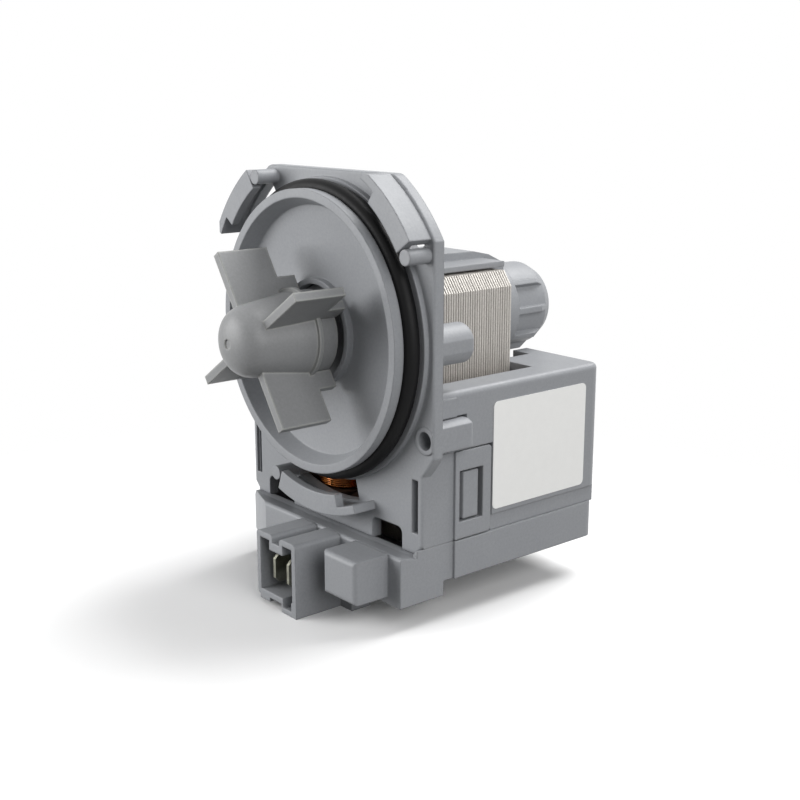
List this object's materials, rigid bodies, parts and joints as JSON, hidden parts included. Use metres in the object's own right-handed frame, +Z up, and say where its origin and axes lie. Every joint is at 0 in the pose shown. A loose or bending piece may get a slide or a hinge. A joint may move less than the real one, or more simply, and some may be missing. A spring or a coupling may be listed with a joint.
{
  "type": "drain pump",
  "caption": "Washer drain pump with a bladed impeller, a round rim with an O-ring, bayonet hooks, an open stator over a clipped coil housing and a socket with two tabs.",
  "frame": {"origin": "the rotor's axis on the front face of the flange plate", "axes": "-Y along the rotor's axis out through the impeller, +Z up away from the coil housing, +X to the right seen from the impeller"},
  "size_m": [0.068, 0.0857, 0.0933],
  "materials": {
    "grey_plastic": "satin",
    "impeller_plastic": "satin",
    "carrier_plastic": "satin",
    "bobbin_plastic": "satin",
    "black_rubber": "satin",
    "lamination_steel": "brushed",
    "copper_wire": "enamelled",
    "terminal_tin": "satin",
    "shaft_steel": "ground",
    "magnet_ferrite": "matte",
    "bearing_plastic": "matte",
    "label_paper": "matte"
  },
  "bodies": {
    "housing": {"flange_housing": "grey_plastic", "o_ring": "black_rubber", "bearing_carrier": "carrier_plastic", "shaft_seal": "black_rubber", "front_bush": "bearing_plastic", "rear_bush": "bearing_plastic", "stator_leg_left": "lamination_steel", "stator_leg_right": "lamination_steel", "stator_yoke": "lamination_steel", "bobbin_left": "bobbin_plastic", "bobbin_right": "bobbin_plastic", "coil_left": "copper_wire", "coil_right": "copper_wire", "coil_housing": "grey_plastic", "rating_label": "label_paper", "base_tray": "grey_plastic", "terminal_left": "terminal_tin", "terminal_right": "terminal_tin", "lead_left": "copper_wire", "lead_right": "copper_wire", "thermal_cutout": "bearing_plastic"},
    "rotor": {"shaft": "shaft_steel", "rotor_core": "carrier_plastic", "magnet": "magnet_ferrite", "thrust_washer_front": "bearing_plastic", "thrust_washer_rear": "bearing_plastic", "drive_dog": "carrier_plastic"},
    "impeller": {"impeller": "impeller_plastic", "hub_cap": "impeller_plastic", "stop_pads": "black_rubber"}
  },
  "joints": [
    {"name": "rotor_spin", "type": "hinge", "parent": "housing", "child": "rotor", "pos_m": [0, 0.03, 0], "axis": [0, 1, 0], "continuous": true},
    {"name": "impeller_play", "type": "hinge", "parent": "rotor", "child": "impeller", "pos_m": [0, -0.015, 0], "axis": [0, 1, 0], "range_deg": [-115, 115]}
  ]
}
